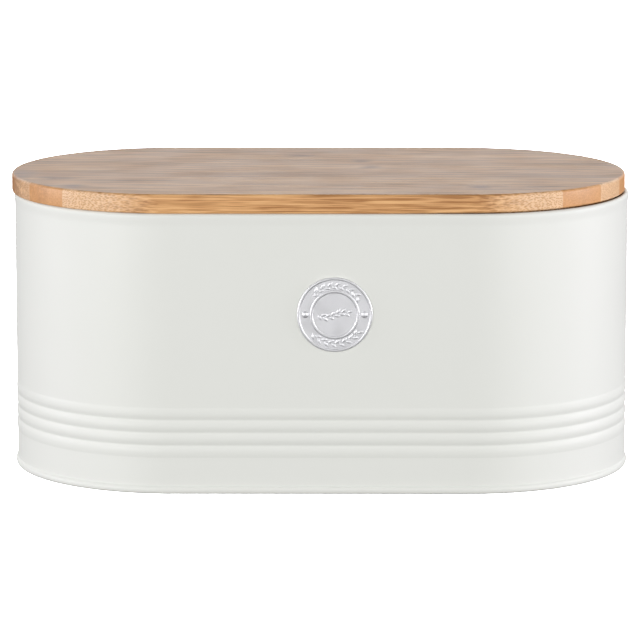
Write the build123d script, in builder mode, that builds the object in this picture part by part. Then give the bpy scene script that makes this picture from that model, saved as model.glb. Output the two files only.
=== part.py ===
"""Obround bread box: painted steel sheet, seamed base, riveted badge and a lift-off bamboo lid.

Millimetres, +Z up. The origin is the middle of the base on the worktop. +X runs along the box
and the front, with the badge, faces -Y.
"""

import os

from build123d import *

# Body band: one steel sheet bent to the obround
sheet = 0.35
body_length = 335.0
body_depth = 176.0
body_height = 151.2
lap_width = 5.0
lap_foot = 1.0

# Rolled rim at the top of the band, a little proud of the wall, with a neck below it
rim_radius = 1.8
rim_roll_angle = 270.0
rim_stand = 0.5
rim_neck = 3.4
neck_share = 0.5

# Swaged beads near the bottom, counted from the lowest crest
bead_count = 4
bead_pitch = 6.9
bead_stand = 0.45
bead_dip = 0.45
lowest_crest = 22.85
crest_share = 0.72

# Double seam between band and base
seam_height = 4.2
seam_clearance = 0.03
hook_room = 0.2
seam_bend = 0.5

# Base pan: raised panel with a stiffening step
panel_rise = 4.0
panel_bend = 1.2
step_inset = 12.0
step_rise = 1.5
step_run = 6.0
step_share = 0.5
flat_margin = 4.0

# Badge on the front face
badge_diameter = 40.0
badge_offset = 7.4
badge_height = 97.4
badge_field = 0.6
badge_edge_width = 1.5
badge_edge_rise = 0.5
badge_ring_inset = 7.0
badge_ring_width = 1.3
badge_ring_rise = 0.4

# Rivets through badge and band
rivet_inset = 4.3
rivet_shank = 2.0
rivet_clearance = 0.05
rivet_head = 3.6
rivet_head_rise = 0.9
rivet_tail = 3.0
rivet_tail_rise = 0.7

# Lid board of edge-glued bamboo strips
lid_thickness = 10.0
lid_inset = 0.1
lid_seat_gap = 0.3
lid_shift = 1.6
lid_top_round = 1.5
lid_bottom_round = 0.8
lid_strip_count = 8

# Second bamboo layer that drops inside the rim
plug_thickness = 8.0
plug_clearance = 2.6
plug_lead_in = 1.5
plug_strip_count = 7

# Reach of a cut past the piece that it goes through
cut_overrun = 1.0

# Places worked out from the sizes above
end_radius = body_depth / 2
straight_half = body_length / 2 - end_radius
rim_foot = body_height - rim_radius
neck_foot = rim_foot - rim_neck
bead_top = lowest_crest + (bead_count - 0.5) * bead_pitch
bead_foot = lowest_crest - bead_pitch / 2
panel_inset = step_inset + step_run + flat_margin
badge_radius = badge_diameter / 2
badge_ring_radius = badge_radius - badge_ring_inset
rivet_spacing = 2 * (badge_radius - rivet_inset)
lid_length = body_length - 2 * lid_inset
lid_depth = body_depth - 2 * lid_inset
plug_inset = 2 * rim_radius - rim_stand + plug_clearance
plug_length = body_length - 2 * plug_inset
plug_depth = body_depth - 2 * plug_inset

# Layers of the double seam, measured outwards from the outer face of the band
cover_hook_face = seam_clearance
body_hook_face = cover_hook_face + sheet + seam_clearance
seam_wall_face = body_hook_face + sheet + seam_clearance
seam_reach = seam_wall_face + sheet
chuck_face = -2 * sheet - seam_clearance
fold_radius = (seam_reach - cover_hook_face) / 2
hook_bend = body_hook_face / 2
hook_bend_height = sheet + seam_clearance + sheet + hook_bend
seam_fold_height = seam_height - fold_radius

os.makedirs("parts", exist_ok=True)


def s_bend(start, end, heading, share):
    """Join two points of a profile with two tangent arcs that both ends leave along heading."""
    middle = Vector(start) + (Vector(end) - Vector(start)) * share
    first = TangentArc(start, middle, tangent=heading)
    TangentArc(middle, end, tangent=first % 1)


def wall_line(top, foot):
    """Draw the outer face of the band downwards, with its row of beads."""
    down = (0, -1)
    crest = (bead_stand, bead_top - bead_pitch / 2)
    Line((0, top), (0, bead_top))
    s_bend((0, bead_top), crest, down, 1 - crest_share)
    for _ in range(bead_count - 1):
        valley = (-bead_dip, crest[1] - bead_pitch / 2)
        next_crest = (bead_stand, crest[1] - bead_pitch)
        s_bend(crest, valley, down, crest_share)
        s_bend(valley, next_crest, down, 1 - crest_share)
        crest = next_crest
    s_bend(crest, (0, bead_foot), down, crest_share)
    Line((0, bead_foot), (0, foot))


def save(builder, name):
    """Label a finished piece and write it to a STEP file of its own."""
    builder.part.label = name
    export_step(builder.part, f"parts/{name}.step")


def save_strips(board, plane, length, depth, reach, count, name):
    """Cut a bamboo board into the edge-glued strips it is made of, from front to back."""
    strip_width = depth / count
    for number in range(count):
        with BuildPart() as strip:
            add(board.part)
            with BuildSketch(plane):
                with Locations((0, (number + 0.5) * strip_width - depth / 2)):
                    Rectangle(length + cut_overrun, strip_width)
            extrude(amount=reach, mode=Mode.INTERSECT)
        save(strip, f"{name}_{number + 1}")


# Route of the band round the box, seen from above, from the middle of the back
with BuildLine() as band_route:
    Line((0, end_radius), (straight_half, end_radius))
    CenterArc((straight_half, 0), end_radius, 90, -180)
    Line((straight_half, -end_radius), (-straight_half, -end_radius))
    CenterArc((-straight_half, 0), end_radius, 270, -180)
    Line((-straight_half, end_radius), (0, end_radius))

# In a band or pan profile, x runs outwards from the outer face of the band and y runs up
profile_plane = Plane(origin=(0, end_radius, 0), x_dir=(0, 1, 0), z_dir=(1, 0, 0))
lap_plane = profile_plane.moved(Location((sheet, 0, -lap_width / 2)))

# On the badge, z runs out of the front face; in its turned profiles, y does
badge_plane = Plane(
    origin=(badge_offset, -end_radius, badge_height), x_dir=(1, 0, 0), z_dir=(0, -1, 0)
)
badge_profile_plane = Plane(origin=badge_plane.origin, x_dir=(1, 0, 0), z_dir=(0, 0, -1))

# The lid lies a little to the left on the rim
lid_plane = Plane(origin=(-lid_shift, 0, body_height + lid_seat_gap))

# Body band: rolled rim, beaded wall, hook of the base seam, lap of its two ends, rivet holes
with BuildPart() as body_shell:
    with BuildSketch(profile_plane):
        with BuildLine():
            CenterArc((rim_stand - rim_radius, rim_foot), rim_radius, rim_roll_angle, -rim_roll_angle)
            s_bend((rim_stand, rim_foot), (0, neck_foot), (0, -1), neck_share)
            wall_line(neck_foot, hook_bend_height)
            CenterArc((hook_bend, hook_bend_height), hook_bend, 180, 180)
            Line((body_hook_face, hook_bend_height), (body_hook_face, seam_fold_height - hook_room))
            offset(amount=sheet, side=Side.RIGHT)
        make_face()
    sweep(path=band_route.line)
    with BuildSketch(lap_plane):
        with BuildLine():
            wall_line(neck_foot, seam_height + lap_foot)
            offset(amount=sheet, side=Side.RIGHT)
        make_face()
    extrude(amount=lap_width)
    with BuildSketch(badge_plane):
        with GridLocations(rivet_spacing, 0, 2, 1):
            Circle(rivet_shank / 2 + rivet_clearance)
    extrude(amount=cut_overrun, both=True, mode=Mode.SUBTRACT)
save(body_shell, "body_shell")

# Base pan: raised panel, stiffening step, and the seam that folds round the hook of the band
with BuildPart() as base_pan:
    with BuildSketch(profile_plane):
        with BuildLine():
            step_top = (-step_inset - step_run, panel_rise + step_rise)
            step_foot = (-step_inset, panel_rise)
            chuck_top = (chuck_face, panel_rise - panel_bend)
            seam_top = (cover_hook_face + fold_radius, seam_fold_height)
            Line((-panel_inset, panel_rise + step_rise), step_top)
            s_bend(step_top, step_foot, (1, 0), step_share)
            Line(step_foot, (chuck_face - panel_bend, panel_rise))
            TangentArc((chuck_face - panel_bend, panel_rise), chuck_top, tangent=(1, 0))
            Line(chuck_top, (chuck_face, seam_bend))
            TangentArc((chuck_face, seam_bend), (chuck_face + seam_bend, 0), tangent=(0, -1))
            Line((chuck_face + seam_bend, 0), (seam_reach - seam_bend, 0))
            TangentArc((seam_reach - seam_bend, 0), (seam_reach, seam_bend), tangent=(1, 0))
            Line((seam_reach, seam_bend), (seam_reach, seam_fold_height))
            CenterArc(seam_top, fold_radius, 0, 180)
            Line((cover_hook_face, seam_fold_height), (cover_hook_face, hook_bend_height + hook_room))
            offset(amount=sheet, side=Side.LEFT)
        make_face()
    sweep(path=band_route.line)
    with BuildSketch(Plane.XY.offset(panel_rise + step_rise)):
        SlotOverall(body_length - 2 * panel_inset, body_depth - 2 * panel_inset)
    extrude(amount=sheet)
save(base_pan, "base_pan")

# Badge plate: turned profile with a raised edge and an inner ring, and two rivet holes
with BuildPart() as badge_plate:
    with BuildSketch(badge_profile_plane):
        with BuildLine():
            edge_outer = (badge_radius, badge_field)
            edge_crest = (badge_radius - badge_edge_width / 2, badge_field + badge_edge_rise)
            edge_inner = (badge_radius - badge_edge_width, badge_field)
            ring_outer = (badge_ring_radius + badge_ring_width / 2, badge_field)
            ring_crest = (badge_ring_radius, badge_field + badge_ring_rise)
            ring_inner = (badge_ring_radius - badge_ring_width / 2, badge_field)
            Polyline((0, badge_field), (0, 0), (badge_radius, 0), edge_outer)
            ThreePointArc(edge_outer, edge_crest, edge_inner)
            Line(edge_inner, ring_outer)
            ThreePointArc(ring_outer, ring_crest, ring_inner)
            Line(ring_inner, (0, badge_field))
        make_face()
    revolve(axis=Axis(badge_plane.origin, badge_plane.z_dir))
    with BuildSketch(badge_plane):
        with GridLocations(rivet_spacing, 0, 2, 1):
            Circle(rivet_shank / 2 + rivet_clearance)
    extrude(amount=badge_field + cut_overrun, mode=Mode.SUBTRACT)
save(badge_plate, "badge_plate")

# Badge rivets: domed head outside, shank through badge and band, clinched tail inside
for side, side_name in ((-1, "left"), (1, "right")):
    rivet_axis = Axis(badge_plane.from_local_coords((side * rivet_spacing / 2, 0, 0)), badge_plane.z_dir)
    rivet_plane = Plane(origin=rivet_axis.position, x_dir=(1, 0, 0), z_dir=(0, 0, -1))
    with BuildPart() as badge_rivet:
        with BuildSketch(rivet_plane):
            with BuildLine():
                head_top = (0, badge_field + rivet_head_rise)
                head_edge = (rivet_head / 2, badge_field)
                tail_end = (0, -sheet - rivet_tail_rise)
                tail_edge = (rivet_tail / 2, -sheet)
                TangentArc(head_top, head_edge, tangent=(1, 0))
                Polyline(head_edge, (rivet_shank / 2, badge_field), (rivet_shank / 2, -sheet), tail_edge)
                TangentArc(tail_end, tail_edge, tangent=(1, 0))
                Line(tail_end, head_top)
            make_face()
        revolve(axis=rivet_axis)
    save(badge_rivet, f"badge_rivet_{side_name}")

# Lid board: eight full-thickness bamboo strips under one rounded edge
with BuildPart() as lid_board:
    with BuildSketch(lid_plane):
        SlotOverall(lid_length, lid_depth)
    extrude(amount=lid_thickness)
    fillet(lid_board.edges().group_by(Axis.Z)[-1], radius=lid_top_round)
    fillet(lid_board.edges().group_by(Axis.Z)[0], radius=lid_bottom_round)
save_strips(lid_board, lid_plane, lid_length, lid_depth, lid_thickness, lid_strip_count, "lid_strip")

# Plug layer: seven strips under the board, bevelled below so that it finds the rim
with BuildPart() as lid_plug:
    with BuildSketch(lid_plane):
        SlotOverall(plug_length, plug_depth)
    extrude(amount=-plug_thickness)
    chamfer(lid_plug.edges().group_by(Axis.Z)[0], length=plug_lead_in)
save_strips(
    lid_plug, lid_plane, plug_length, plug_depth, -plug_thickness, plug_strip_count, "lid_plug_strip"
)
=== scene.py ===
# %% [markdown]
# # A steel bread box with a bamboo lid
# This lesson dresses an obround bread box: a painted steel band with rolled beads, a seamed base, a
# riveted aluminium badge and a loose bamboo lid. The CAD model comes first, as a fixed frame in metres,
# and every Blender piece is built on top of it, so nothing has to be moved into place afterwards.

# %% Load the frame
import math

import bmesh
import bpy
from mathutils import Euler, Matrix, Vector


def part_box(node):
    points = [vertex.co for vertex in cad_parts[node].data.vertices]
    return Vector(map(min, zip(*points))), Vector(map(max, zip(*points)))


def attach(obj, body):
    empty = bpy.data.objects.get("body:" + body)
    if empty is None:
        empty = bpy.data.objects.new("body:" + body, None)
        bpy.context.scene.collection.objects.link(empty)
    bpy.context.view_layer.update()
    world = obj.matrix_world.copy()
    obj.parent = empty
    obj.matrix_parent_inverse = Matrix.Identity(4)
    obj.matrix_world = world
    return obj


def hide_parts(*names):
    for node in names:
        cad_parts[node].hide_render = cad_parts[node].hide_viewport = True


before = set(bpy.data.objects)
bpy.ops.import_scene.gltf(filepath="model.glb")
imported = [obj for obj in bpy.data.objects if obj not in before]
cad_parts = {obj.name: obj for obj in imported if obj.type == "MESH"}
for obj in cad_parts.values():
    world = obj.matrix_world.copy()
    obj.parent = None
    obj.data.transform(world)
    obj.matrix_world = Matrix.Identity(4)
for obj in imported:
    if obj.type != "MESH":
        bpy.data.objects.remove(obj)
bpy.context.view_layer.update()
MM = 0.001

# %% [markdown]
# ## Sizes
# The large sizes are read from the frame, so the looks follow the CAD model if it changes. The frame
# gives boxes and not profiles, so the small sizes of the sheet metal, such as a bead's depth, are named
# here again.

# %% Read the large sizes and name the small ones
SHEET = 0.35 * MM
SEAM_CLEARANCE = 0.03 * MM
SEAM_REACH = 3 * (SHEET + SEAM_CLEARANCE)

pan_low, pan_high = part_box("base_pan")
END_RADIUS = (pan_high.y - pan_low.y) / 2 - SEAM_REACH
STRAIGHT_HALF = (pan_high.x - pan_low.x) / 2 - SEAM_REACH - END_RADIUS
RIM_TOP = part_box("body_shell")[1].z

badge_low, badge_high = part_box("badge_plate")
BADGE_RADIUS = (badge_high.x - badge_low.x) / 2
BADGE_CENTRE = Vector(((badge_low.x + badge_high.x) / 2, badge_high.y, (badge_low.z + badge_high.z) / 2))

LID_STRIPS = [name for name in sorted(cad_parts) if name.startswith("lid_strip")]
PLUG_STRIPS = [name for name in sorted(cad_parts) if name.startswith("lid_plug")]
print("end radius", END_RADIUS / MM, "straight", 2 * STRAIGHT_HALF / MM, "rim", RIM_TOP / MM)

# %% [markdown]
# ## Camera
# The photograph was taken from far away with a long lens, a little above the lid. A long lens keeps the
# two sides of the box almost parallel. The numbers come from fitting the outline of the box to the
# picture.

# %% Camera
CAMERA_PLACE = (0.00788, -2.29869, 0.50562)
CAMERA_PITCH = math.radians(10.536)
CAMERA_YAW = math.radians(0.215)
SENSOR_WIDTH = 36.0
FOCAL_IN_FRAMES = 4250.3 / 640


def add_object(name, data):
    """Put a new object with this data in the scene."""
    added = bpy.data.objects.new(name, data)
    bpy.context.scene.collection.objects.link(added)
    return added


camera_data = bpy.data.cameras.new("camera")
camera_data.sensor_width = SENSOR_WIDTH
camera_data.lens = SENSOR_WIDTH * FOCAL_IN_FRAMES
camera = add_object("camera", camera_data)
camera.location = CAMERA_PLACE
camera.rotation_euler = Euler((math.pi / 2 - CAMERA_PITCH, 0, CAMERA_YAW))
bpy.context.scene.camera = camera
print("lens", round(camera_data.lens, 1), "mm")

# %% [markdown]
# ## Helpers for node trees
# Shader trees and Geometry Nodes trees are built in the same way, so the same helpers serve both. One adds
# a node and sets its properties, and one feeds a node's inputs: each gets either a value or a link from
# another node's output.


# %% Node helpers
def feed(tree, node, inputs):
    """Link each input that is given another node's output, and set any other."""
    for key, value in inputs.items():
        if isinstance(value, bpy.types.NodeSocket):
            tree.links.new(value, node.inputs[key])
        else:
            node.inputs[key].default_value = value


def add_node(tree, kind, settings=None, inputs=None):
    """Add a node, set its properties and feed its inputs."""
    node = tree.nodes.new(kind)
    for name, value in (settings or {}).items():
        setattr(node, name, value)
    feed(tree, node, inputs or {})
    return node


def maths(tree, operation, first, second=0.0):
    """One step of arithmetic on values."""
    return add_node(tree, "ShaderNodeMath", {"operation": operation}, {0: first, 1: second}).outputs[0]


def ramp_between(tree, value, low, high, to_low=0.0, to_high=1.0):
    """Map a value from low..high to to_low..to_high with soft ends."""
    inputs = {"Value": value, "From Min": low, "From Max": high, "To Min": to_low, "To Max": to_high}
    settings = {"interpolation_type": "SMOOTHSTEP"}
    return add_node(tree, "ShaderNodeMapRange", settings, inputs).outputs["Result"]


def mix_colour(tree, factor, first, second):
    """Mix two colours; the Mix node has its colours at inputs 6 and 7 and output 2."""
    settings = {"data_type": "RGBA"}
    return add_node(tree, "ShaderNodeMix", settings, {0: factor, 6: first, 7: second}).outputs[2]


def scaled(tree, vector, scale):
    """Multiply a vector by three numbers, which stretches a pattern along the axes."""
    settings = {"operation": "MULTIPLY"}
    return add_node(tree, "ShaderNodeVectorMath", settings, {0: vector, 1: scale}).outputs["Vector"]


def split(tree, vector):
    """The X, Y and Z of a vector."""
    return add_node(tree, "ShaderNodeSeparateXYZ", None, {0: vector}).outputs


def combine(tree, **parts):
    """A vector from its X, Y and Z; any that is left out is zero."""
    return add_node(tree, "ShaderNodeCombineXYZ", None, parts).outputs[0]


def new_group(name, inputs, outputs):
    """Start a shader node group with named sockets and return it with its two end nodes."""
    group = bpy.data.node_groups.new(name, "ShaderNodeTree")
    for label, kind, value in inputs:
        socket = group.interface.new_socket(label, in_out="INPUT", socket_type=kind)
        if value is not None:
            socket.default_value = value
    for label, kind in outputs:
        group.interface.new_socket(label, in_out="OUTPUT", socket_type=kind)
    return group, group.nodes.new("NodeGroupInput"), group.nodes.new("NodeGroupOutput")


def new_material(name):
    """Start a material and return it with its tree, its Principled shader and the Object coordinates."""
    material = bpy.data.materials.new(name)
    material.use_nodes = True
    tree = material.node_tree
    shader = tree.nodes["Principled BSDF"]
    place = tree.nodes.new("ShaderNodeTexCoord").outputs["Object"]
    print("material", name)
    return material, tree, shader, place


def bump(tree, height, depth):
    """A normal that follows a height; depth is the real relief in metres."""
    inputs = {"Height": height, "Distance": depth, "Strength": 1.0}
    return add_node(tree, "ShaderNodeBump", None, inputs).outputs["Normal"]


# %% [markdown]
# ## A group for finishes that are not quite even
# Sprayed paint, stamped metal and oiled bamboo all have a sheen that wanders a little over the surface,
# and a fine relief that only shows where light glances off. Both come from noise, so one shader group
# holds them, and each material places the group with its own scale and range of roughness.

# %% Uneven finish group
FLOAT, COLOUR, VECTOR = "NodeSocketFloat", "NodeSocketColor", "NodeSocketVector"
SHEEN_DETAIL, RELIEF_DETAIL = 3.0, 2.0
SHEEN_RANGE = (0.3, 0.7)

uneven_finish, group_in, group_out = new_group(
    "uneven_finish",
    [("Position", VECTOR, None), ("Sheen scale", FLOAT, 20.0), ("Relief scale", FLOAT, 900.0),
     ("Roughness low", FLOAT, 0.3), ("Roughness high", FLOAT, 0.4)],
    [("Roughness", FLOAT), ("Sheen", FLOAT), ("Relief", FLOAT)],
)
position = group_in.outputs["Position"]
sheen = add_node(uneven_finish, "ShaderNodeTexNoise", None,
                 {"Vector": position, "Scale": group_in.outputs["Sheen scale"], "Detail": SHEEN_DETAIL})
relief = add_node(uneven_finish, "ShaderNodeTexNoise", None,
                  {"Vector": position, "Scale": group_in.outputs["Relief scale"], "Detail": RELIEF_DETAIL})
roughness = ramp_between(uneven_finish, sheen.outputs["Fac"], *SHEEN_RANGE,
                         group_in.outputs["Roughness low"], group_in.outputs["Roughness high"])
feed(uneven_finish, group_out,
     {"Roughness": roughness, "Sheen": sheen.outputs["Fac"], "Relief": relief.outputs["Fac"]})
print("group", uneven_finish.name, "with", len(uneven_finish.nodes), "nodes")


def place_finish(tree, position, sheen_scale, relief_scale, low, high):
    """Place the group in a material, with its range of roughness, and return its outputs."""
    inputs = {"Position": position, "Sheen scale": sheen_scale, "Relief scale": relief_scale,
              "Roughness low": low, "Roughness high": high}
    return add_node(tree, "ShaderNodeGroup", {"node_tree": uneven_finish}, inputs).outputs


# %% [markdown]
# ## Cream paint
# The band and the base are sprayed with a satin cream white. The paint is one colour, a shade warmer
# where the coat is thicker, with the faint orange peel that sprayed paint has when it dries.

# %% Cream paint
PAINT = (0.811, 0.820, 0.778, 1)
PAINT_THICK = (0.789, 0.798, 0.750, 1)
PEEL_DEPTH = 0.02 * MM

cream_paint, tree, shader, place = new_material("cream_paint")
finish = place_finish(tree, place, sheen_scale=14.0, relief_scale=700.0, low=0.46, high=0.54)
feed(tree, shader, {"Base Color": mix_colour(tree, finish["Sheen"], PAINT, PAINT_THICK),
                    "Roughness": finish["Roughness"],
                    "Normal": bump(tree, finish["Relief"], PEEL_DEPTH)})

# %% [markdown]
# ## Stamped aluminium
# The badge is stamped from aluminium sheet. Its sunk fields keep the satin grain of the die, and its
# raised lines are rubbed bright. How far a point stands out from the band tells the two apart: a
# Mapping node moves the pattern's origin to the middle of the badge's back, and a ramp on the distance
# from there mixes the two finishes.

# %% Stamped aluminium
FIELD = 0.6 * MM
ALUMINIUM = (0.90, 0.90, 0.92, 1)
ALUMINIUM_DULL = (0.86, 0.86, 0.88, 1)
RUBBED_FROM = FIELD + 0.05 * MM
RUBBED_FULL = FIELD + 0.25 * MM
RUBBED_ROUGHNESS = 0.44
GRAIN_DEPTH = 0.03 * MM

stamped_aluminium, tree, shader, place = new_material("stamped_aluminium")
moved = add_node(tree, "ShaderNodeMapping", None, {"Vector": place, "Location": -BADGE_CENTRE})
centred = moved.outputs["Vector"]
outward = maths(tree, "MULTIPLY", split(tree, centred)["Y"], -1.0)
rubbed = ramp_between(tree, outward, RUBBED_FROM, RUBBED_FULL)
finish = place_finish(tree, centred, sheen_scale=120.0, relief_scale=2600.0, low=0.46, high=0.56)
roughness = ramp_between(tree, rubbed, 0.0, 1.0, finish["Roughness"], RUBBED_ROUGHNESS)
feed(tree, shader, {"Base Color": mix_colour(tree, rubbed, ALUMINIUM_DULL, ALUMINIUM),
                    "Roughness": roughness, "Metallic": 1.0,
                    "Normal": bump(tree, finish["Relief"], GRAIN_DEPTH)})

bright_aluminium, tree, shader, place = new_material("bright_aluminium")
finish = place_finish(tree, place, sheen_scale=300.0, relief_scale=3000.0, low=0.48, high=0.58)
feed(tree, shader, {"Base Color": mix_colour(tree, finish["Sheen"], ALUMINIUM, ALUMINIUM_DULL),
                    "Roughness": finish["Roughness"], "Metallic": 1.0})

# %% [markdown]
# ## Bamboo
# Bamboo has no year rings. It is a bundle of hard fibres that run along the strip, so the pattern is a
# solid one: noise stretched far along X, and cells that are drawn across the strip and hardly change
# along it. Seen from above or from the front it gives long streaks. Where a rounded end cuts across the
# fibres, the cells show as dots, as on real end grain. Cut ends are also paler, so the surface's own
# direction mixes in their colour. Each glued strip comes from another stalk: a white noise on the
# strip's number shifts the pattern and the tone. Every second strip is a shade darker, and its cut ends
# are plainer.

# %% Bamboo colours and sizes
STRAW = (0.855, 0.500, 0.228, 1)
HONEY = (0.680, 0.360, 0.152, 1)
TAWNY = (0.425, 0.196, 0.070, 1)
END_PALE = (0.890, 0.625, 0.400, 1)
PORE = (0.640, 0.370, 0.185, 1)
END_PLAIN = (0.675, 0.328, 0.128, 1)
MARK_BROWN = (0.270, 0.115, 0.062, 1)
GLUE_PALE = (0.780, 0.560, 0.360, 1)
GLUE_WIDTH = 0.35
GLUE_SHARE = 0.3
STALK_SHIFT = (400, 0, 60)
EDGE_SHARE = 0.01
GRAIN_DETAIL = 2.0


def grain(tree, vector, along, across):
    """Noise stretched along the fibre; along and across are its steps in a millimetre."""
    stretched = scaled(tree, vector, (along, across, across))
    settings = {"Vector": stretched, "Scale": 1.0, "Detail": GRAIN_DETAIL}
    return add_node(tree, "ShaderNodeTexNoise", None, settings).outputs["Fac"]


def weighted(tree, *terms):
    """Sum of values, each times its weight."""
    total = 0.0
    for value, weight in terms:
        total = maths(tree, "ADD", maths(tree, "MULTIPLY", value, weight), total)
    return total


# %% Bamboo group: strips
bamboo_fibre, group_in, group_out = new_group(
    "bamboo_fibre",
    [("Position", VECTOR, None), ("Facing", VECTOR, None), ("Strip width", FLOAT, 22.0),
     ("First joint", FLOAT, -88.0), ("Strips", FLOAT, 8.0), ("Seed", FLOAT, 0.0),
     ("Mark strength", FLOAT, 1.0)],
    [("Color", COLOUR), ("Fibre", FLOAT)],
)
tree = bamboo_fibre
in_mm = scaled(tree, group_in.outputs["Position"], (1 / MM, 1 / MM, 1 / MM))
along, across, _ = split(tree, in_mm)
strips_in = maths(tree, "DIVIDE", maths(tree, "SUBTRACT", across, group_in.outputs["First joint"]),
                  group_in.outputs["Strip width"])
last_share = maths(tree, "SUBTRACT", group_in.outputs["Strips"], EDGE_SHARE)
strips_in = maths(tree, "MINIMUM", maths(tree, "MAXIMUM", strips_in, EDGE_SHARE), last_share)
strip_number = maths(tree, "FLOOR", strips_in)
second = maths(tree, "PINGPONG", strip_number, 1.0)
draw = add_node(tree, "ShaderNodeTexWhiteNoise", {"noise_dimensions": "1D"},
                {"W": maths(tree, "ADD", strip_number, group_in.outputs["Seed"])})
shift = scaled(tree, draw.outputs["Color"], STALK_SHIFT)
stalk = add_node(tree, "ShaderNodeVectorMath", {"operation": "ADD"}, {0: in_mm, 1: shift}).outputs["Vector"]

# %% Bamboo group: fibres and end grain
FIBRES_IN_MM = 1.3
FIBRE_WANDER = 1.1
WANDER_STEPS = (0.012, 0.10)
BUNDLE_RANGE = (0.18, 0.52)
FINE_STEPS, FINE_RANGE = (0.016, 1.30), (0.42, 0.58)
BAND_STEPS, BAND_RANGE = (0.030, 0.25), (0.36, 0.64)
BROAD_STEPS, BROAD_RANGE = (0.006, 0.07), (0.34, 0.66)
BUNDLE_WEIGHT, FINE_WEIGHT, BAND_WEIGHT, BROAD_WEIGHT = 0.12, 0.42, 0.28, 0.12
SECOND_WEIGHT, STALK_WEIGHT = 0.14, 0.14
HONEY_RANGE, TAWNY_RANGE = (0.20, 0.57), (0.55, 0.93)
END_RANGE, END_SHARE, PLAIN_SHARE = (0.05, 0.45), 0.78, 0.85

wander = maths(tree, "MULTIPLY", grain(tree, stalk, *WANDER_STEPS), FIBRE_WANDER)
_, stalk_across, stalk_up = split(tree, stalk)
cut = combine(tree, X=maths(tree, "ADD", stalk_across, wander), Y=maths(tree, "ADD", stalk_up, wander))
cells = add_node(tree, "ShaderNodeTexVoronoi", {"voronoi_dimensions": "2D"},
                 {"Vector": cut, "Scale": FIBRES_IN_MM})
bundle = ramp_between(tree, cells.outputs["Distance"], *BUNDLE_RANGE, 1.0, 0.0)
fine = ramp_between(tree, grain(tree, stalk, *FINE_STEPS), *FINE_RANGE)
band = ramp_between(tree, grain(tree, stalk, *BAND_STEPS), *BAND_RANGE)
broad = ramp_between(tree, grain(tree, stalk, *BROAD_STEPS), *BROAD_RANGE)

tone = weighted(tree, (bundle, BUNDLE_WEIGHT), (fine, FINE_WEIGHT), (band, BAND_WEIGHT),
                (broad, BROAD_WEIGHT), (second, SECOND_WEIGHT), (draw.outputs["Value"], STALK_WEIGHT))
colour = mix_colour(tree, ramp_between(tree, tone, *HONEY_RANGE), STRAW, HONEY)
colour = mix_colour(tree, ramp_between(tree, tone, *TAWNY_RANGE), colour, TAWNY)

end_facing = maths(tree, "ABSOLUTE", split(tree, group_in.outputs["Facing"])["X"])
end_share = ramp_between(tree, end_facing, *END_RANGE, 0.0, END_SHARE)
end_colour = mix_colour(tree, bundle, END_PALE, PORE)
end_colour = mix_colour(tree, maths(tree, "MULTIPLY", second, PLAIN_SHARE), end_colour, END_PLAIN)
colour = mix_colour(tree, end_share, colour, end_colour)

# %% [markdown]
# A stalk has a joint every few hand widths, where its fibres knot together. Some of them end up in a
# strip and show as short dark dashes, some with a long stain beside them. They are placed one by one.
# Each row of the list gives a mark's place along and across the board, half its length, half its width,
# all in millimetres, and its strength. A noise breaks each of them up into dashes.

# %% Bamboo group: marks and glue lines
MARKS = (
    (-12, 56, 14, 11, 0.8),
    (21, 34, 9, 10, 0.8),
    (27, 12, 9, 10, 0.7),
    (86, -60, 9, 9, 1.0),
    (116, -58, 36, 7, 0.7),
    (-131, -60, 13, 10, 1.0),
    (-143, -33, 18, 10, 1.0),
    (-98, -41, 62, 7, 0.7),
    (-163, -22, 13, 36, 0.7),
    (-146, -56, 10, 10, 0.3),
    (-158, -42, 24, 26, 0.3),
)
DASH_STEPS, DASH_RANGE = (0.05, 0.35), (0.28, 0.54)
HALF_STRIP = 0.5

mark_share = 0.0
for mark_x, mark_y, half_length, half_width, strength in MARKS:
    off_along = maths(tree, "ABSOLUTE", maths(tree, "SUBTRACT", along, mark_x))
    off_across = maths(tree, "ABSOLUTE", maths(tree, "SUBTRACT", across, mark_y))
    mark = maths(tree, "MULTIPLY", ramp_between(tree, off_along, 0.0, half_length, strength, 0.0),
                 ramp_between(tree, off_across, 0.0, half_width, 1.0, 0.0))
    mark_share = maths(tree, "MAXIMUM", mark, mark_share)
dashes = ramp_between(tree, grain(tree, stalk, *DASH_STEPS), *DASH_RANGE)
mark_share = maths(tree, "MULTIPLY", mark_share, dashes)
mark_share = maths(tree, "MULTIPLY", mark_share, group_in.outputs["Mark strength"])
colour = mix_colour(tree, mark_share, colour, MARK_BROWN)

from_joint = maths(tree, "PINGPONG", strips_in, HALF_STRIP)
from_joint = maths(tree, "MULTIPLY", from_joint, group_in.outputs["Strip width"])
glue = ramp_between(tree, from_joint, 0.0, GLUE_WIDTH, GLUE_SHARE, 0.0)
colour = mix_colour(tree, glue, colour, GLUE_PALE)
feed(tree, group_out, {"Color": colour, "Fibre": fine})
print("group", bamboo_fibre.name, "with", len(tree.nodes), "nodes")

# %% [markdown]
# The board and the plug layer under it use the same group with their own strip widths. A Mapping node
# turns the board's pattern a little, because the board was cut slightly askew to its strips. A thin oil
# finish gives the wood a soft sheen, which is what turns the lid's top milky when it is seen at a low
# angle.


# %% Bamboo materials
FIBRE_DEPTH = 0.01 * MM
OIL_GLOSS = 0.32
GRAIN_TURN = math.radians(0.98)
JOINT_SHIFT = -4.0 * MM
BOARD_SEED, PLUG_SEED = 3.0, 41.0


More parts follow.
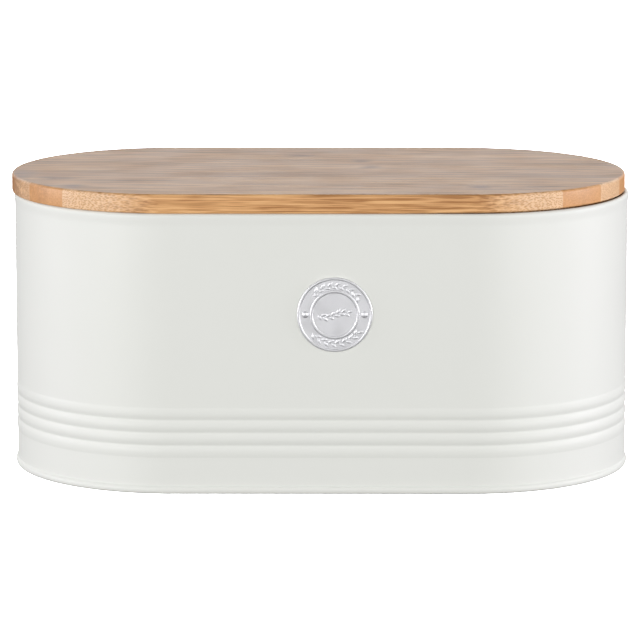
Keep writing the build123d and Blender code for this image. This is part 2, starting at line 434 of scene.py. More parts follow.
def bamboo(name, nodes, turn, shift, seed, mark_strength):
    """A bamboo material for the glued strips of these nodes, counted from the front."""
    front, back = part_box(nodes[0])[0].y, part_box(nodes[-1])[1].y
    material, tree, shader, place = new_material(name)
    turned = add_node(tree, "ShaderNodeMapping", None, {"Vector": place, "Rotation": (0, 0, turn)})
    fibre = add_node(tree, "ShaderNodeGroup", {"node_tree": bamboo_fibre},
                     {"Position": turned.outputs["Vector"],
                      "Facing": tree.nodes["Texture Coordinate"].outputs["Normal"],
                      "Strip width": (back - front) / len(nodes) / MM, "First joint": (front + shift) / MM,
                      "Strips": len(nodes), "Seed": seed, "Mark strength": mark_strength})
    finish = place_finish(tree, place, sheen_scale=30.0, relief_scale=900.0, low=0.36, high=0.43)
    feed(tree, shader, {"Base Color": fibre.outputs["Color"], "Roughness": finish["Roughness"],
                        "Specular IOR Level": OIL_GLOSS,
                        "Normal": bump(tree, fibre.outputs["Fibre"], FIBRE_DEPTH)})
    return material


board_bamboo = bamboo("board_bamboo", LID_STRIPS, GRAIN_TURN, JOINT_SHIFT, BOARD_SEED, 1.0)
plug_bamboo = bamboo("plug_bamboo", PLUG_STRIPS, 0.0, 0.0, PLUG_SEED, 0.0)

# %% [markdown]
# ## Profiles of the sheet metal
# Every sheet piece is drawn as a line in a plane where the first number runs outwards from the band's
# outer face and the second runs up. Arcs and S-bends give the line its points, and a helper then gives
# it the sheet's thickness.


# %% Profile helpers
def arc(centre, radius, start, turn, steps):
    """Points of an arc; angles are in degrees, and a negative turn runs clockwise."""
    angles = [math.radians(start + turn * step / steps) for step in range(steps + 1)]
    return [(centre[0] + radius * math.cos(a), centre[1] + radius * math.sin(a)) for a in angles]


def s_bend(start, end, share, upright=True, steps=6):
    """Two tangent arcs that leave start and reach end along one axis and meet at share of the way."""
    width, height = end[0] - start[0], end[1] - start[1]
    run, drop = (height, width) if upright else (width, height)
    angle = 2 * math.atan2(abs(drop), abs(run))
    points = []
    for step in range(1, 2 * steps + 1):
        first = step <= steps
        part = step / steps if first else 2 - step / steps
        length = share if first else 1 - share
        forward = length * math.sin(angle * part) / math.sin(angle)
        aside = length * (1 - math.cos(angle * part)) / (1 - math.cos(angle))
        if not first:
            forward, aside = 1 - forward, 1 - aside
        across, up = (drop * aside, run * forward) if upright else (run * forward, drop * aside)
        points.append((start[0] + across, start[1] + up))
    return points


def thicken(line, thickness):
    """Close a line into a band of one thickness; a positive one goes to the right of the line's run."""
    other = []
    for index, point in enumerate(line):
        before, after = line[max(index - 1, 0)], line[min(index + 1, len(line) - 1)]
        run = Vector((after[0] - before[0], after[1] - before[1])).normalized()
        other.append((point[0] + run.y * thickness, point[1] - run.x * thickness))
    return line + other[::-1]


def poly_curve(name, points, closed):
    """A curve object through the points of a profile, for Geometry Nodes to read."""
    data = bpy.data.curves.new(name, "CURVE")
    data.dimensions = "3D"
    spline = data.splines.new("POLY")
    spline.points.add(len(points) - 1)
    for point, (across, up) in zip(spline.points, points):
        point.co = (across, up, 0, 1)
    spline.use_cyclic_u = closed
    return add_object(name, data)


# %% [markdown]
# The band's profile runs from the free end of the rolled rim, over the rim, in at its neck and down the
# outer face. Near the foot it swings through four beads, rounded outside and tight between, and it ends
# in the hook that the base seam holds. A long straight wall gets a few points close to its ends: smooth
# shading then stays flat in between.

# %% Band profile
RIM_RADIUS = 1.8 * MM
RIM_ROLL = 270
RIM_STEPS = 27
RIM_STAND = 0.34 * MM
RIM_NECK = 5.5 * MM
NECK_SHARE = 0.5
RIM_FOOT = RIM_TOP - RIM_RADIUS
NECK_FOOT = RIM_FOOT - RIM_NECK
BEAD_COUNT = 4
BEAD_PITCH = 6.9 * MM
BEAD_STAND = 0.32 * MM
BEAD_DIP = 0.32 * MM
LOWEST_CREST = 22.85 * MM
CREST_SHARE = 0.8
FLAT_KEEPER = 0.6 * MM
HOOK_FACE = SHEET + 2 * SEAM_CLEARANCE
HOOK_BEND = HOOK_FACE / 2
HOOK_STEPS = 6
HOOK_HEIGHT = 2 * SHEET + SEAM_CLEARANCE + HOOK_BEND
SEAM_HEIGHT = 4.2 * MM
FOLD_RADIUS = (SEAM_REACH - SEAM_CLEARANCE) / 2
HOOK_ROOM = 0.2 * MM
BEAD_TOP = LOWEST_CREST + (BEAD_COUNT - 0.5) * BEAD_PITCH
BEAD_FOOT = LOWEST_CREST - BEAD_PITCH / 2


def wall_points(top, foot):
    """Outer face of the band from top to foot, with its beads."""
    points = [(0, top), (0, top - FLAT_KEEPER), (0, BEAD_TOP + FLAT_KEEPER), (0, BEAD_TOP)]
    crest = (BEAD_STAND, BEAD_TOP - BEAD_PITCH / 2)
    points += s_bend(points[-1], crest, 1 - CREST_SHARE)
    for _ in range(BEAD_COUNT - 1):
        valley = (-BEAD_DIP, crest[1] - BEAD_PITCH / 2)
        next_crest = (BEAD_STAND, crest[1] - BEAD_PITCH)
        points += s_bend(crest, valley, CREST_SHARE)
        points += s_bend(valley, next_crest, 1 - CREST_SHARE)
        crest = next_crest
    points += s_bend(crest, (0, BEAD_FOOT), CREST_SHARE)
    return points + [(0, BEAD_FOOT - FLAT_KEEPER), (0, foot + FLAT_KEEPER), (0, foot)]


rim_points = arc((RIM_STAND - RIM_RADIUS, RIM_FOOT), RIM_RADIUS, RIM_ROLL, -RIM_ROLL, RIM_STEPS)
rim_points += s_bend((RIM_STAND, RIM_FOOT), (0, NECK_FOOT), NECK_SHARE)
hook_points = arc((HOOK_BEND, HOOK_HEIGHT), HOOK_BEND, 180, 180, HOOK_STEPS)
band_line = rim_points[:-1] + wall_points(NECK_FOOT, HOOK_HEIGHT)[:-1] + hook_points
band_line += [(HOOK_FACE, SEAM_HEIGHT - FOLD_RADIUS - HOOK_ROOM)]
band_profile = poly_curve("band_profile", thicken(band_line, SHEET), True)

LAP_WIDTH = 5.0 * MM
LAP_FOOT = 1.0 * MM
lap_wall = wall_points(NECK_FOOT, SEAM_HEIGHT + LAP_FOOT)
lap_line = [(across + SHEET, up) for across, up in lap_wall]
lap_profile = poly_curve("lap_profile", thicken(lap_line, SHEET), True)
print("band profile of", len(band_profile.data.splines[0].points), "points")

# %% [markdown]
# ## The beaded band
# The band's shape follows a rule: one profile runs round an obround path. That is work for Geometry
# Nodes. The path is a circle whose two halves are pulled apart by the length of the straight side, then
# resampled to even steps so that the flats stay flat. Curve to Mesh carries the profile along it. In
# that node a profile's Y points down when the path runs anticlockwise, so the tree turns the profile
# over first. The lap where the two ends of the sheet meet is a short second run at the middle of the
# back.


# %% Geometry Nodes helpers
OBJECT, INTEGER, MATERIAL = "NodeSocketObject", "NodeSocketInt", "NodeSocketMaterial"
MERGE_DISTANCE = 0.001 * MM
SHARP_ANGLE = math.radians(32)


def new_geometry_tree(name, inputs):
    """Start a Geometry Nodes tree with named inputs and one geometry output."""
    tree = bpy.data.node_groups.new(name, "GeometryNodeTree")
    for label, kind in inputs:
        tree.interface.new_socket(label, in_out="INPUT", socket_type=kind)
    tree.interface.new_socket("Geometry", in_out="OUTPUT", socket_type="NodeSocketGeometry")
    return tree, tree.nodes.new("NodeGroupInput").outputs, tree.nodes.new("NodeGroupOutput").inputs


def level_line(tree, half, y):
    """A line along X, at one Y, from half to its mirror image."""
    start, end = [combine(tree, X=maths(tree, "MULTIPLY", half, side), Y=y) for side in (1.0, -1.0)]
    line = add_node(tree, "GeometryNodeCurvePrimitiveLine", None, {"Start": start, "End": end})
    return line.outputs["Curve"]


def end_tree(tree, parts, given, result):
    """Join the parts, make instances real, give them the material and end the tree."""
    joined = add_node(tree, "GeometryNodeJoinGeometry")
    for part in parts:
        tree.links.new(part, joined.inputs["Geometry"])
    real = add_node(tree, "GeometryNodeRealizeInstances", None, {"Geometry": joined.outputs["Geometry"]})
    dressed = add_node(tree, "GeometryNodeSetMaterial", None,
                       {"Geometry": real.outputs["Geometry"], "Material": given["Material"]})
    tree.links.new(dressed.outputs["Geometry"], result["Geometry"])
    print("tree", tree.name, "with", len(tree.nodes), "nodes")


def grow(name, tree, inputs, material):
    """Run a tree on an empty mesh, keep the result as a plain mesh piece and drop the modifier."""
    values = {**inputs, "Material": material}
    piece = add_object(name, bpy.data.meshes.new(name))
    modifier = piece.modifiers.new(name, "NODES")
    modifier.node_group = tree
    for item in tree.interface.items_tree:
        if item.in_out == "INPUT" and item.name in values:
            modifier[item.identifier] = values[item.name]
    evaluated = piece.evaluated_get(bpy.context.evaluated_depsgraph_get())
    mesh = bpy.data.meshes.new_from_object(evaluated)
    piece.modifiers.remove(modifier)
    piece.data = mesh
    mesh.name = name
    return finish_mesh(piece, material)


def finish_mesh(piece, material):
    """Give a mesh its material, smooth shading with sharp corners, and outward faces; report its size."""
    mesh = piece.data
    shape = bmesh.new()
    shape.from_mesh(mesh)
    bmesh.ops.remove_doubles(shape, verts=shape.verts, dist=MERGE_DISTANCE)
    bmesh.ops.recalc_face_normals(shape, faces=shape.faces)
    open_edges = sum(not edge.is_manifold for edge in shape.edges)
    volume = shape.calc_volume(signed=True)
    shape.to_mesh(mesh)
    shape.free()
    mesh.materials.clear()
    mesh.materials.append(material)
    mesh.shade_smooth()
    mesh.set_sharp_from_angle(angle=SHARP_ANGLE)
    print(f"{piece.name}: {len(mesh.polygons)} faces, {volume / MM**3:.0f} mm3, open edges {open_edges}")
    return piece


# %% Band tree
CIRCLE_POINTS = 360
PATH_POINTS = 290

band_tree, given, result = new_geometry_tree(
    "beaded_band",
    [("Profile", OBJECT), ("Lap profile", OBJECT), ("End radius", FLOAT), ("Straight half", FLOAT),
     ("Lap width", FLOAT), ("Path points", INTEGER), ("Material", MATERIAL)],
)
circle = add_node(band_tree, "GeometryNodeCurvePrimitiveCircle", None,
                  {"Resolution": CIRCLE_POINTS, "Radius": given["End radius"]})
here = band_tree.nodes.new("GeometryNodeInputPosition").outputs[0]
side = maths(band_tree, "SIGN", split(band_tree, here)["X"])
pull = maths(band_tree, "MULTIPLY", side, given["Straight half"])
apart = add_node(band_tree, "GeometryNodeSetPosition", None,
                 {"Geometry": circle.outputs["Curve"], "Offset": combine(band_tree, X=pull)})
path = add_node(band_tree, "GeometryNodeResampleCurve", None,
                {"Curve": apart.outputs["Geometry"], "Count": given["Path points"]})


def swept(tree, path, profile, caps):
    """Carry a profile object along a path, with its Y up."""
    source = add_node(tree, "GeometryNodeObjectInfo", None, {"Object": profile})
    turned = add_node(tree, "GeometryNodeTransform", None,
                      {"Geometry": source.outputs["Geometry"], "Scale": (1, -1, 1)})
    sweep = add_node(tree, "GeometryNodeCurveToMesh", None,
                     {"Curve": path, "Profile Curve": turned.outputs["Geometry"], "Fill Caps": caps})
    return sweep.outputs["Mesh"]


band_mesh = swept(band_tree, path.outputs["Curve"], given["Profile"], False)
half_lap = maths(band_tree, "MULTIPLY", given["Lap width"], 0.5)
lap_path = level_line(band_tree, half_lap, given["End radius"])
lap_mesh = swept(band_tree, lap_path, given["Lap profile"], True)
end_tree(band_tree, (lap_mesh, band_mesh), given, result)

# %% Band piece
band = grow("beaded_band", band_tree,
            {"Profile": band_profile, "Lap profile": lap_profile, "End radius": END_RADIUS,
             "Straight half": STRAIGHT_HALF, "Lap width": LAP_WIDTH, "Path points": PATH_POINTS}, cream_paint)
for curve in (band_profile, lap_profile):
    bpy.data.objects.remove(curve)
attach(band, "box")
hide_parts("body_shell")

# %% [markdown]
# ## Rings and skins
# The base pan, the lid's boards and the turned pieces of the badge are all stacks of rings: outlines of
# one kind at different sizes and heights. A helper skins such a stack with quads and closes its two
# ends. An obround ring keeps some points on its straight sides, for the same reason as above.


# %% Ring helpers
def obround_ring(end_radius, straight_half, height, centre_x=0.0, round_steps=72, straight_steps=12):
    """Points of an obround outline at one height, anticlockwise from the right end's front."""
    ring = []
    for side, start in ((1, -90), (-1, 90)):
        for across, up in arc((0, 0), end_radius, start, 180, round_steps):
            ring.append(Vector((centre_x + side * straight_half + across, up, height)))
        for step in range(1, straight_steps):
            x = side * straight_half * (1 - 2 * step / straight_steps)
            ring.append(Vector((centre_x + x, side * end_radius, height)))
    return ring


def circle_ring(radius, height, steps=96):
    """Points of a circle at one height."""
    return [Vector((x, y, height)) for x, y in arc((0, 0), radius, 0, 360, steps)[:-1]]


def skin(name, rings):
    """A closed mesh object skinned over a stack of rings that all have as many points."""
    mesh = bpy.data.meshes.new(name)
    shape = bmesh.new()
    stacks = [[shape.verts.new(point) for point in ring] for ring in rings]
    for lower, upper in zip(stacks, stacks[1:]):
        for index in range(len(lower)):
            nearby = (index + 1) % len(lower)
            shape.faces.new((lower[index], lower[nearby], upper[nearby], upper[index]))
    shape.faces.new(stacks[0][::-1])
    shape.faces.new(stacks[-1])
    shape.to_mesh(mesh)
    shape.free()
    return add_object(name, mesh)


# %% [markdown]
# ## The seamed base
# The base is pressed from the same sheet. Its panel stands clear of the worktop and steps up towards
# the middle, and its edge wraps twice round the band's hook: that fold is the small rim at the foot of
# the box, turned round below. The profile is drawn once along the underside and thickened, and each of
# its points becomes an obround ring. On the outside, paint has filled the corner between the fold and
# the wall, so there a soft shoulder takes the place of the bare fold.

# %% Seamed base
PANEL_RISE = 4.0 * MM
PANEL_BEND = 1.2 * MM
STEP_INSET = 12.0 * MM
STEP_RISE = 1.5 * MM
STEP_RUN = 6.0 * MM
STEP_SHARE = 0.5
FLAT_MARGIN = 4.0 * MM
PANEL_INSET = STEP_INSET + STEP_RUN + FLAT_MARGIN
SEAM_BEND = 0.5 * MM
FOOT_TURN = 1.3 * MM
FOOT_RISE = 2.2 * MM
PANEL_STEPS, SEAM_STEPS, FOOT_STEPS, FOLD_STEPS = 8, 6, 10, 12
CHUCK_FACE = -2 * SHEET - SEAM_CLEARANCE
FOLD_HEIGHT = SEAM_HEIGHT - FOLD_RADIUS
SHOULDER_TOP = 4.9 * MM
SHOULDER_SHARE = 0.75

step_top = (-STEP_INSET - STEP_RUN, PANEL_RISE + STEP_RISE)
step_foot = (-STEP_INSET, PANEL_RISE)
pan_line = [(-PANEL_INSET, step_top[1]), (step_top[0] - FLAT_KEEPER, step_top[1]), step_top]
pan_line += s_bend(step_top, step_foot, STEP_SHARE, upright=False)
pan_line += [(step_foot[0] + FLAT_KEEPER, PANEL_RISE), (CHUCK_FACE - PANEL_BEND - FLAT_KEEPER, PANEL_RISE)]
pan_line += arc((CHUCK_FACE - PANEL_BEND, PANEL_RISE - PANEL_BEND), PANEL_BEND, 90, -90, PANEL_STEPS)
pan_line += arc((CHUCK_FACE + SEAM_BEND, SEAM_BEND), SEAM_BEND, 180, 90, SEAM_STEPS)
foot_turn = arc((0, 0), 1, 270, 90, FOOT_STEPS)
pan_line += [(SEAM_REACH + FOOT_TURN * (across - 1), FOOT_RISE * (up + 1)) for across, up in foot_turn]
fold_end = [(SEAM_CLEARANCE, HOOK_HEIGHT + HOOK_ROOM)]
fold_line = arc((SEAM_CLEARANCE + FOLD_RADIUS, FOLD_HEIGHT), FOLD_RADIUS, 0, 180, FOLD_STEPS) + fold_end
shoulder_foot = (SEAM_REACH, FOOT_RISE)
shoulder_line = s_bend(shoulder_foot, (SEAM_CLEARANCE, SHOULDER_TOP), SHOULDER_SHARE) + fold_end
bare_line = pan_line + fold_line
inner_line = thicken(bare_line, -SHEET)[len(bare_line):]
pan_profile = pan_line + shoulder_line + inner_line
pan_rings = [obround_ring(END_RADIUS + across, STRAIGHT_HALF, up) for across, up in pan_profile]
base = finish_mesh(skin("seamed_base", pan_rings), cream_paint)
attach(base, "box")
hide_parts("base_pan")

# %% [markdown]
# ## The badge
# A turned profile gives the disc its raised edge and inner ring. It is made lying flat and then stood
# up against the front face by its mesh, so that the object itself stays at the origin.

# %% Badge disc
EDGE_WIDTH = 1.5 * MM
EDGE_RISE = 0.5 * MM
RING_INSET = 7.6 * MM
RING_RADIUS = BADGE_RADIUS - RING_INSET
RING_WIDTH = 1.6 * MM
RING_RISE = 0.4 * MM
SHOULDER = 0.45 * MM
STAND_UP = Matrix.Translation(BADGE_CENTRE) @ Matrix.Rotation(math.pi / 2, 4, "X")


def raised_line(outer, width, rise, steps=6):
    """Profile of a flat line with round shoulders on the badge's field, from its outer side inwards."""
    quarter = [math.pi / 2 * step / steps for step in range(steps + 1)]
    climb = [(outer - SHOULDER * (1 - math.cos(a)), FIELD + rise * math.sin(a)) for a in quarter]
    return climb + [(2 * outer - width - radius, height) for radius, height in climb[::-1]]


badge_line = [(BADGE_RADIUS, 0)]
badge_line += raised_line(BADGE_RADIUS, EDGE_WIDTH, EDGE_RISE)
badge_line += [(BADGE_RADIUS - EDGE_WIDTH - FLAT_KEEPER / 2, FIELD)]
badge_line += [(RING_RADIUS + RING_WIDTH / 2 + FLAT_KEEPER / 2, FIELD)]
badge_line += raised_line(RING_RADIUS + RING_WIDTH / 2, RING_WIDTH, RING_RISE)
badge_line += [(RING_RADIUS - RING_WIDTH / 2 - FLAT_KEEPER / 2, FIELD)]
badge = skin("badge_disc", [circle_ring(radius, height) for radius, height in badge_line])
badge.data.transform(STAND_UP)
finish_mesh(badge, stamped_aluminium)
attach(badge, "box")
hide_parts("badge_plate")

# %% [markdown]
# ## Rivets
# Two dome rivets hold the badge. They are alike, so one turned dome is made and Geometry Nodes sets
# it on two points. The tree ends in Realize Instances, because an exported mesh can't hold
# instances.

# %% Rivet dome
RIVET_HEAD = 1.8 * MM
RIVET_RISE = 0.9 * MM
RIVET_SHANK = 1.0 * MM
RIVET_TAIL = 1.5 * MM
TAIL_RISE = 0.7 * MM
RIVET_INSET = 4.3 * MM
POLE = 0.03 * MM
RIVET_STEPS = 40
RIVET_COUNT = 2


def dome(edge, base, rise, steps=10):
    """Profile of a low dome from its edge to its pole."""
    points = []
    for step in range(steps):
        angle = math.pi / 2 * step / steps
        points.append((max(edge * math.cos(angle), POLE), base + rise * math.sin(angle)))
    return points + [(POLE, base + rise)]


rivet_line = dome(RIVET_TAIL, -SHEET, -TAIL_RISE)[::-1] + [(RIVET_SHANK, -SHEET), (RIVET_SHANK, FIELD)]
rivet_line += dome(RIVET_HEAD, FIELD, RIVET_RISE)
rivet_shape = skin("rivet_shape", [circle_ring(radius, height, RIVET_STEPS) for radius, height in rivet_line])
print("rivet with", len(rivet_shape.data.polygons), "faces")

# %% Rivet pair
rivet_tree, given, result = new_geometry_tree(
    "rivet_pair", [("Rivet", OBJECT), ("Half spacing", FLOAT), ("Material", MATERIAL)])
between = level_line(rivet_tree, given["Half spacing"], 0.0)
spots = add_node(rivet_tree, "GeometryNodeCurveToPoints", None, {"Curve": between, "Count": RIVET_COUNT})
source = add_node(rivet_tree, "GeometryNodeObjectInfo", None, {"Object": given["Rivet"]})
placed = add_node(rivet_tree, "GeometryNodeInstanceOnPoints", None,
                  {"Points": spots.outputs["Points"], "Instance": source.outputs["Geometry"]})
end_tree(rivet_tree, (placed.outputs["Instances"],), given, result)
rivets = grow("badge_rivets", rivet_tree,
              {"Rivet": rivet_shape, "Half spacing": BADGE_RADIUS - RIVET_INSET}, bright_aluminium)
rivets.data.transform(STAND_UP)
bpy.data.objects.remove(rivet_shape)
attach(rivets, "box")
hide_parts("badge_rivet_left", "badge_rivet_right")

# %% [markdown]
# ## Sprigs on the badge
# The die also raises a leafy sprig along the upper and the lower half of the badge and a third one
# across its middle. Each is a line with leaves that point forward to either side in turn. Geometry
# Nodes set such a row along any path: the points give the places, the path's tangent gives the
# direction, and whether a point's number is odd or even gives the side. One leaf is skinned from a
# few rings.

# %% Leaf
LEAF_LENGTH = 3.8 * MM
LEAF_WIDTH = 1.7 * MM
LEAF_RISE = 0.36 * MM
LEAF_STEPS = 6
LEAF_SHARES = (0.01, 0.12, 0.3, 0.5, 0.7, 0.88, 0.99)


def leaf_ring(share):
    """Cross-section of the leaf, flat below and crowned above, at a share of its length."""
    swell = math.sin(math.pi * share)
    crown = arc((0, 0), swell, 0, 180, LEAF_STEPS)
    return [Vector((LEAF_LENGTH * share, LEAF_WIDTH / 2 * across, LEAF_RISE * up)) for across, up in crown]


leaf = skin("leaf", [leaf_ring(share) for share in LEAF_SHARES])
print("leaf with", len(leaf.data.polygons), "faces")

# %% Sprig tree
STEM_SIDES = 8

sprig_tree, given, result = new_geometry_tree(
    "sprig", [("Path", OBJECT), ("Leaf", OBJECT), ("Leaves", INTEGER), ("Spread", FLOAT),
              ("Stem radius", FLOAT), ("Material", MATERIAL)])
path = add_node(sprig_tree, "GeometryNodeObjectInfo", None, {"Object": given["Path"]}).outputs["Geometry"]
source = add_node(sprig_tree, "GeometryNodeObjectInfo", None, {"Object": given["Leaf"]})
spots = add_node(sprig_tree, "GeometryNodeCurveToPoints", None, {"Curve": path, "Count": given["Leaves"]})
forward = add_node(sprig_tree, "FunctionNodeAlignRotationToVector", {"axis": "X", "pivot_axis": "Z"},
                   {"Vector": spots.outputs["Tangent"]})
number = sprig_tree.nodes.new("GeometryNodeInputIndex").outputs[0]
odd = maths(sprig_tree, "PINGPONG", number, 1.0)
side = maths(sprig_tree, "SUBTRACT", maths(sprig_tree, "MULTIPLY", odd, 2.0), 1.0)
spread = maths(sprig_tree, "MULTIPLY", side, given["Spread"])
turned = add_node(sprig_tree, "FunctionNodeRotateRotation", {"rotation_space": "LOCAL"},
                  {"Rotation": forward.outputs[0], "Rotate By": combine(sprig_tree, Z=spread)})
leaves = add_node(sprig_tree, "GeometryNodeInstanceOnPoints", None,
                  {"Points": spots.outputs["Points"], "Instance": source.outputs["Geometry"],
                   "Rotation": turned.outputs[0]})
stem_section = add_node(sprig_tree, "GeometryNodeCurvePrimitiveCircle", None,
                        {"Resolution": STEM_SIDES, "Radius": given["Stem radius"]})
stem = add_node(sprig_tree, "GeometryNodeCurveToMesh", None,
                {"Curve": path, "Profile Curve": stem_section.outputs["Curve"], "Fill Caps": True})
end_tree(sprig_tree, (leaves.outputs["Instances"], stem.outputs["Mesh"]), given, result)

# %% Sprigs
SPRIG_RADIUS = (RING_RADIUS + BADGE_RADIUS - EDGE_WIDTH) / 2
SPRIG_SPAN = 100
STEM_RADIUS = 0.22 * MM
LEAF_SPREAD = math.radians(32)
CENTRE_HALF = 9.0 * MM
CENTRE_SWAY = 1.2 * MM
ROUND_LEAVES, CENTRE_LEAVES = 15, 12
ROUND_STEPS, CENTRE_STEPS, CENTRE_LAST = 40, 10, 7

centre_shares = [step / CENTRE_STEPS for step in range(-CENTRE_STEPS, CENTRE_LAST + 1)]
centre_path = [(CENTRE_HALF * share, CENTRE_SWAY * math.sin(math.pi * share)) for share in centre_shares]
sprig_paths = {
    "upper_sprig": (arc((0, 0), SPRIG_RADIUS, 90 + SPRIG_SPAN / 2, -SPRIG_SPAN, ROUND_STEPS), ROUND_LEAVES),
    "lower_sprig": (arc((0, 0), SPRIG_RADIUS, 270 - SPRIG_SPAN / 2, SPRIG_SPAN, ROUND_STEPS), ROUND_LEAVES),
    "centre_sprig": (centre_path, CENTRE_LEAVES),
}
for name, (points, leaf_count) in sprig_paths.items():
    curve = poly_curve(name, points, False)
    sprig = grow(name, sprig_tree,
                 {"Path": curve, "Leaf": leaf, "Leaves": leaf_count, "Spread": LEAF_SPREAD,
                  "Stem radius": STEM_RADIUS}, bright_aluminium)
    sprig.data.transform(STAND_UP @ Matrix.Translation((0, 0, FIELD)))
    bpy.data.objects.remove(curve)
    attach(sprig, "box")
bpy.data.objects.remove(leaf)

# %% [markdown]
# ## Lid strips
# The lid is a board of edge-glued bamboo strips. The whole board is skinned first, with its rounded
# upper and lower edge, and then cut at the glue lines, as a maker would glue first and shape
# afterwards. Each strip keeps its own piece, so it can stand for its own CAD node. A board of this size
# never stays quite flat: the underside of this one touches the rim at the left and stands off it by
# half a millimetre at the right, where a thin dark gap shows.

# %% Board and plug
LID_TOP_ROUND = 1.5 * MM
LID_BOTTOM_ROUND = 0.8 * MM
TOP_STEPS, BOTTOM_STEPS = 8, 6
PLUG_LEAD_IN = 1.5 * MM
CUP_START = 25 * MM
CUP_RUN = 75 * MM
CUP_DROP = 0.22 * MM
CUP_LIFT = 0.35 * MM


def board_rings(nodes, edge):
    """Rings of a whole board from bottom to top; edge lists its inset and height at each ring."""
    boxes = [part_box(node) for node in nodes]
    low = Vector([min(box[0][axis] for box in boxes) for axis in range(3)])
    high = Vector([max(box[1][axis] for box in boxes) for axis in range(3)])
    end_radius = (high.y - low.y) / 2
    straight_half = (high.x - low.x) / 2 - end_radius
    centre_x = (high.x + low.x) / 2
    return [obround_ring(end_radius - inset, straight_half, height, centre_x)
            for inset, height in edge(low.z, high.z)]


def rounded_edge(bottom, top):
    """Inset and height along a board's edge that is rounded below and, more, above."""
    below = arc((LID_BOTTOM_ROUND, bottom + LID_BOTTOM_ROUND), LID_BOTTOM_ROUND, 270, -90, BOTTOM_STEPS)
    above = arc((LID_TOP_ROUND, top - LID_TOP_ROUND), LID_TOP_ROUND, 180, -90, TOP_STEPS)
    keepers = [(LID_BOTTOM_ROUND + FLAT_KEEPER, bottom)], [(LID_TOP_ROUND + FLAT_KEEPER, top)]
    return keepers[0] + below + above + keepers[1]


def bevelled_edge(bottom, top):
    """Inset and height along a board's edge that is bevelled below."""
    return [(PLUG_LEAD_IN, bottom), (0, bottom + PLUG_LEAD_IN), (0, top)]


def cup_underside(board):
    """Let the underside touch the rim at the left and, past a smooth step, stand off it at the right."""
    middle = sum(vertex.co.z for vertex in board.data.vertices) / len(board.data.vertices)
    for vertex in board.data.vertices:
        if vertex.co.z < middle:
            part = min(max((vertex.co.x - CUP_START) / CUP_RUN, 0), 1)
            vertex.co.z += (CUP_DROP + CUP_LIFT) * part * part * (3 - 2 * part) - CUP_DROP


def cut_strips(board, nodes, name, material, turn, shift):
    """Cut a skinned board at its glue lines into one closed piece for each node."""
    across = Vector((math.sin(turn), math.cos(turn), 0))
    for number, node in enumerate(nodes, 1):
        low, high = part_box(node)
        shape = bmesh.new()
        shape.from_mesh(board.data)
        joints = [(low.y, -across)] if number > 1 else []
        joints += [(high.y, across)] if number < len(nodes) else []
        for place, outward in joints:
            geometry = shape.verts[:] + shape.edges[:] + shape.faces[:]
            cut = bmesh.ops.bisect_plane(shape, geom=geometry, plane_co=(0, place + shift, 0),
                                         plane_no=outward, clear_outer=True)
            edges = [item for item in cut["geom_cut"] if isinstance(item, bmesh.types.BMEdge)]
            bmesh.ops.edgeloop_fill(shape, edges=edges)
        mesh = bpy.data.meshes.new(f"{name}_{number}")
        shape.to_mesh(mesh)
        shape.free()
        strip = add_object(mesh.name, mesh)
        finish_mesh(strip, material)
        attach(strip, "lid")
        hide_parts(node)
    bpy.data.objects.remove(board)


board = skin("board", board_rings(LID_STRIPS, rounded_edge))
cup_underside(board)
cut_strips(board, LID_STRIPS, "board_strip", board_bamboo, GRAIN_TURN, JOINT_SHIFT)
plug = skin("plug", board_rings(PLUG_STRIPS, bevelled_edge))
cut_strips(plug, PLUG_STRIPS, "plug_strip", plug_bamboo, 0.0, 0.0)

# %% [markdown]
# ## Stage and light
# The photograph has a pure white ground and a soft light that comes low from the sides. A row of banks
# stands round the front, the strongest at either side, and draws a bright band down each rounded end. A
# glow low at the back makes the sheen on the lid. Little light falls from above, so the lid's top stays
# darker than its edge. The floor reflects like dark card, and only the camera sees it as an overexposed
# ground: a Light Path node tells the camera's rays from the others.

# %% Floor
FLOOR_SIZE = 24.0
FLOOR_BOUNCE = (0.1, 0.1, 0.1, 1)
FLOOR_SEEN = (10.0, 10.0, 10.0, 1)

bpy.ops.mesh.primitive_plane_add(size=FLOOR_SIZE)
floor = bpy.context.object
floor.name = "floor"
floor_card = bpy.data.materials.new("floor_card")
floor_card.use_nodes = True
tree = floor_card.node_tree
from_camera = add_node(tree, "ShaderNodeLightPath").outputs["Is Camera Ray"]
card = add_node(tree, "ShaderNodeBsdfDiffuse", None,
                {"Color": mix_colour(tree, from_camera, FLOOR_BOUNCE, FLOOR_SEEN)})
tree.links.new(card.outputs["BSDF"], tree.nodes["Material Output"].inputs["Surface"])
tree.nodes.remove(tree.nodes["Principled BSDF"])
floor.data.materials.append(floor_card)
print("floor of", FLOOR_SIZE, "m")

# %% World
FRONT_LOW, FRONT_MIDDLE, FRONT_HIGH = 0.5, 0.7, 0.1
BACK_LOW, BACK_MIDDLE, BACK_HIGH = 0.55, 2.12, 0.1
ELEVATIONS = (6, 16, 26, 42)
LOW_ENDS, MIDDLE_STARTS, MIDDLE_ENDS, HIGH_STARTS = [math.sin(math.radians(e)) for e in ELEVATIONS]
BACK_STARTS, BACK_FULL = 0.25, 0.75

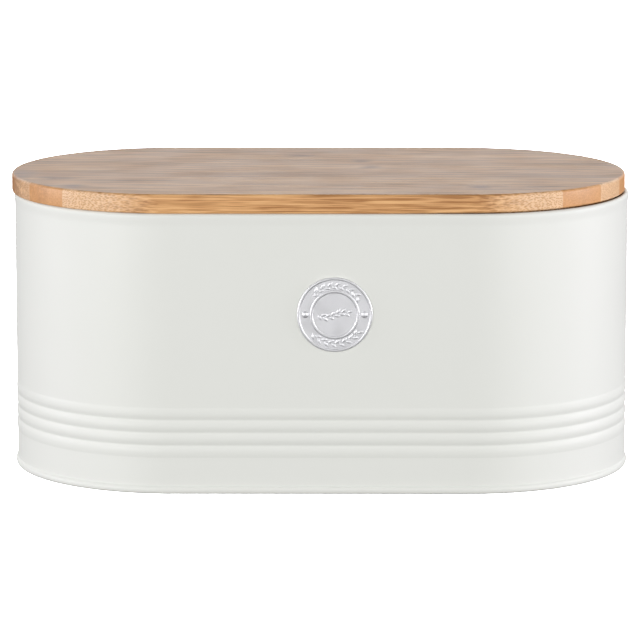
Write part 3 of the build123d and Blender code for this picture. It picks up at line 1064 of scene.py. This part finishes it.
world = bpy.data.worlds.new("studio")
world.use_nodes = True
sky = world.node_tree
looking = add_node(sky, "ShaderNodeTexCoord").outputs["Generated"]
_, backward, rise = split(sky, looking)
front_glow = ramp_between(sky, rise, LOW_ENDS, MIDDLE_STARTS, FRONT_LOW, FRONT_MIDDLE)
front_glow = ramp_between(sky, rise, MIDDLE_ENDS, HIGH_STARTS, front_glow, FRONT_HIGH)
back_glow = ramp_between(sky, rise, LOW_ENDS, MIDDLE_STARTS, BACK_LOW, BACK_MIDDLE)
back_glow = ramp_between(sky, rise, MIDDLE_ENDS, HIGH_STARTS, back_glow, BACK_HIGH)
glow = ramp_between(sky, backward, BACK_STARTS, BACK_FULL, front_glow, back_glow)
feed(sky, sky.nodes["Background"], {"Strength": glow, "Color": (1, 1, 1, 1)})
bpy.context.scene.world = world
bpy.context.scene.view_settings.view_transform = "Standard"
print("world", world.name, "with", len(sky.nodes), "nodes")

# %% Lights
LIGHT_DISTANCE = 1.7
LIGHT_ELEVATION = 3.5
LIGHT_HEIGHT = 0.28
LIGHT_AIM = Vector((0, 0, 0.08))
LIGHT_WHITE = (1.0, 1.0, 1.0)
LIGHT_COOL = (1.02, 1.0, 1.07)
BANKS = ((-85, 0.9, 9.3, LIGHT_COOL), (-45, 0.45, 6.9, LIGHT_WHITE), (-25, 0.45, 4.7, LIGHT_WHITE),
         (25, 0.45, 3.25, LIGHT_WHITE), (45, 0.45, 6.25, LIGHT_WHITE), (85, 0.9, 12.6, LIGHT_COOL))


def light_bank(azimuth, width, power, colour):
    """An area light at an angle from the front, in degrees, that faces the box and hides from the camera."""
    data = bpy.data.lights.new("bank", "AREA")
    data.shape = "RECTANGLE"
    data.size, data.size_y = width, LIGHT_HEIGHT
    data.energy = power
    data.color = colour
    light = add_object("bank", data)
    towards = Vector((0, -LIGHT_DISTANCE, 0))
    towards.rotate(Euler((-math.radians(LIGHT_ELEVATION), 0, math.radians(azimuth))))
    light.location = LIGHT_AIM + towards
    light.rotation_euler = (-towards).to_track_quat("-Z", "Y").to_euler()
    light.visible_camera = False


for bank in BANKS:
    light_bank(*bank)
print(len(BANKS), "light banks")
